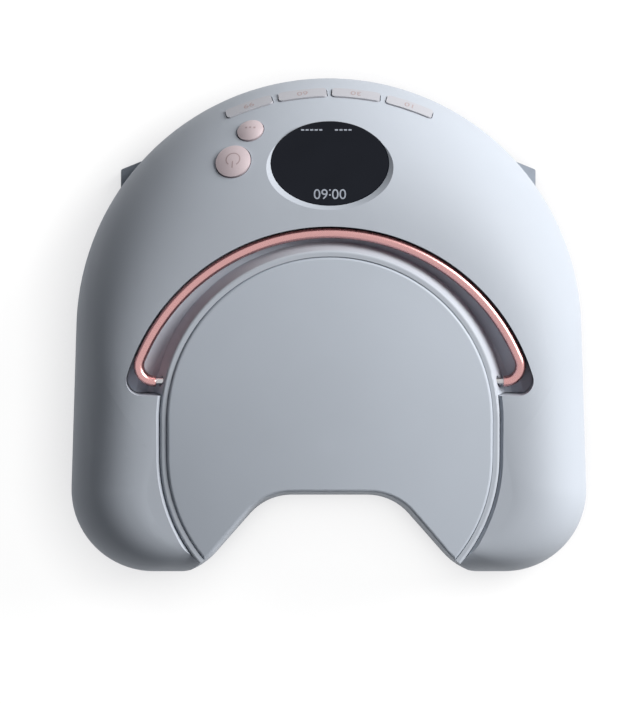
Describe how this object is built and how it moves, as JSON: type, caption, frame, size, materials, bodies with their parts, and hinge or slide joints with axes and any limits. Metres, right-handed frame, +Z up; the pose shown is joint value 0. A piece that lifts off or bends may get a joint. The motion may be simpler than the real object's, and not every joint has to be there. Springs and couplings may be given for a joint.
{
  "type": "nail lamp",
  "caption": "Cordless lamp that cures nail gel: domed housing with a hand opening, folding carrying handle, oval display, buttons, timer keys and a lift-off base tray.",
  "frame": {"origin": "on the ground under the middle of the lamp", "axes": "+X to the user's right as the hand goes in, +Y to the rear, where the display is, +Z up"},
  "size_m": [0.234, 0.2239, 0.0917],
  "materials": {
    "housing": "satin, moulded, pale blue-grey",
    "rose_metal": "polished, rose-gold plated",
    "dark_glass": "smoked, polished",
    "liner": "bright white, moulded",
    "tray": "satin, moulded",
    "bright_sheet": "bright rolled",
    "rubber": "matt",
    "steel": "nickel plated",
    "acetal": "smooth",
    "black_plastic": "fine grained",
    "circuit_board": "lacquered laminate",
    "diode_lens": "clear, faintly violet",
    "aluminium": "plain sheet",
    "cell_wrap": "shrink wrap"
  },
  "bodies": {
    "tray": {"base_tray": "tray", "floor_plate": "bright_sheet", "rubber_feet": "rubber", "striker_plates": "steel"},
    "lamp": {"main_housing": "housing", "handle_well": "housing", "top_panel": "housing", "handle_bushes": "acetal", "display_lens": "dark_glass", "display_module": "black_plastic", "display_board": "circuit_board", "button_switches": "black_plastic", "button_boards": "circuit_board", "key_switches": "black_plastic", "key_boards": "circuit_board", "reflector": "liner", "led_lenses": "diode_lens", "led_board_top": "circuit_board", "led_boards_side": "circuit_board", "led_board_rear": "circuit_board", "heat_spreader": "aluminium", "hand_sensor": "black_plastic", "battery_cells": "cell_wrap", "battery_cradle": "black_plastic", "control_board": "circuit_board", "control_chips": "black_plastic", "charge_jack": "black_plastic", "bottom_cover": "tray", "cover_screws": "steel", "housing_magnets": "steel"},
    "handle": {"handle": "rose_metal", "handle_pins": "steel"},
    "power_button": {"power_button": "rose_metal"},
    "mode_button": {"mode_button": "rose_metal"},
    "timer_key_1": {"timer_key_1": "rose_metal"},
    "timer_key_2": {"timer_key_2": "rose_metal"},
    "timer_key_3": {"timer_key_3": "rose_metal"},
    "timer_key_4": {"timer_key_4": "rose_metal"}
  },
  "joints": [
    {"name": "lift_off", "type": "slide", "parent": "tray", "child": "lamp", "axis": [0, 0, 1], "range_m": [0, 0.12]},
    {"name": "handle_swing", "type": "hinge", "parent": "lamp", "child": "handle", "pos_m": [0, -0.02534, 0.08014], "axis": [1, 0, 0], "range_deg": [0, 95]},
    {"name": "power_button_press", "type": "slide", "parent": "lamp", "child": "power_button", "axis": [0.2293, -0.4585, -0.8586], "range_m": [0, 0.0007], "stiffness_N_per_m": 900, "springref_m": -0.0005},
    {"name": "mode_button_press", "type": "slide", "parent": "lamp", "child": "mode_button", "axis": [0.2312, -0.6392, -0.7335], "range_m": [0, 0.0007], "stiffness_N_per_m": 900, "springref_m": -0.0005},
    {"name": "timer_key_1_press", "type": "slide", "parent": "lamp", "child": "timer_key_1", "axis": [0.2838, -0.8254, -0.488], "range_m": [0, 0.0007], "stiffness_N_per_m": 900, "springref_m": -0.0005},
    {"name": "timer_key_2_press", "type": "slide", "parent": "lamp", "child": "timer_key_2", "axis": [0.0942, -0.8632, -0.496], "range_m": [0, 0.0007], "stiffness_N_per_m": 900, "springref_m": -0.0005},
    {"name": "timer_key_3_press", "type": "slide", "parent": "lamp", "child": "timer_key_3", "axis": [-0.0942, -0.8632, -0.496], "range_m": [0, 0.0007], "stiffness_N_per_m": 900, "springref_m": -0.0005},
    {"name": "timer_key_4_press", "type": "slide", "parent": "lamp", "child": "timer_key_4", "axis": [-0.2838, -0.8254, -0.488], "range_m": [0, 0.0007], "stiffness_N_per_m": 900, "springref_m": -0.0005}
  ]
}
